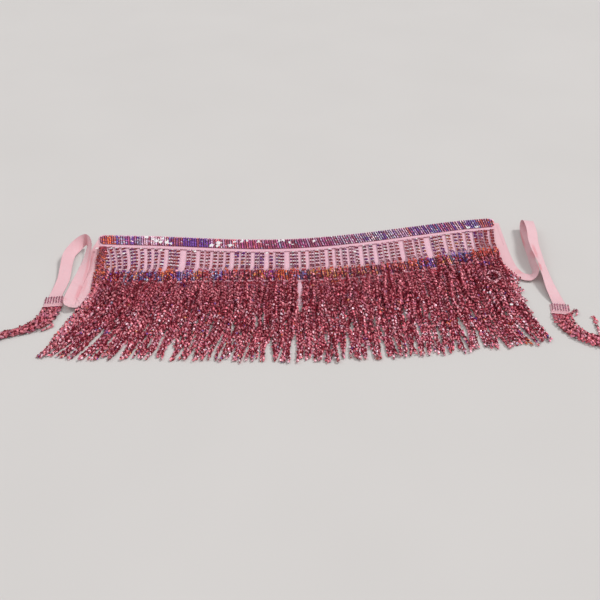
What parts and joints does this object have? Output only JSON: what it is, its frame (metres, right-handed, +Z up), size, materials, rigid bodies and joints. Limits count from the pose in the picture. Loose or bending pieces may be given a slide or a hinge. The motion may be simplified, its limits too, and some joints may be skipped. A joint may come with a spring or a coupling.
{
  "type": "belly dance hip belt",
  "caption": "Pink cloth hip belt with rows of sequin trim and long sequin fringe, ribbon ties with tassels at its ends, laid flat.",
  "frame": {"origin": "middle of the whole laid-out belt's footprint, on the surface it lies on", "axes": "+X along the belt to its right-hand tie, +Y from the fringe tips towards the waist edge, +Z up from the surface"},
  "size_m": [1.3411, 0.4712, 0.0318],
  "materials": {
    "pink_cloth": "plain woven pink cloth with a soft matte face",
    "pink_ribbon": "pale pink grosgrain tie ribbon with a faint sheen",
    "sequin_trim": "stitched cup sequins in wine red with a shifting purple, blue and orange shine",
    "sequin_strands": "strung cup sequins in wine red and rose with bright glints"
  },
  "bodies": {
    "root": {"base_cloth": "pink_cloth", "upper_trim": "sequin_trim", "lower_trim": "sequin_trim", "upper_fringe": "sequin_strands", "lower_fringe": "sequin_strands", "ribbon_left": "pink_ribbon", "ribbon_right": "pink_ribbon", "tie_head_left": "sequin_trim", "tie_head_right": "sequin_trim", "tie_fringe_left": "sequin_strands", "tie_fringe_right": "sequin_strands"}
  },
  "joints": []
}
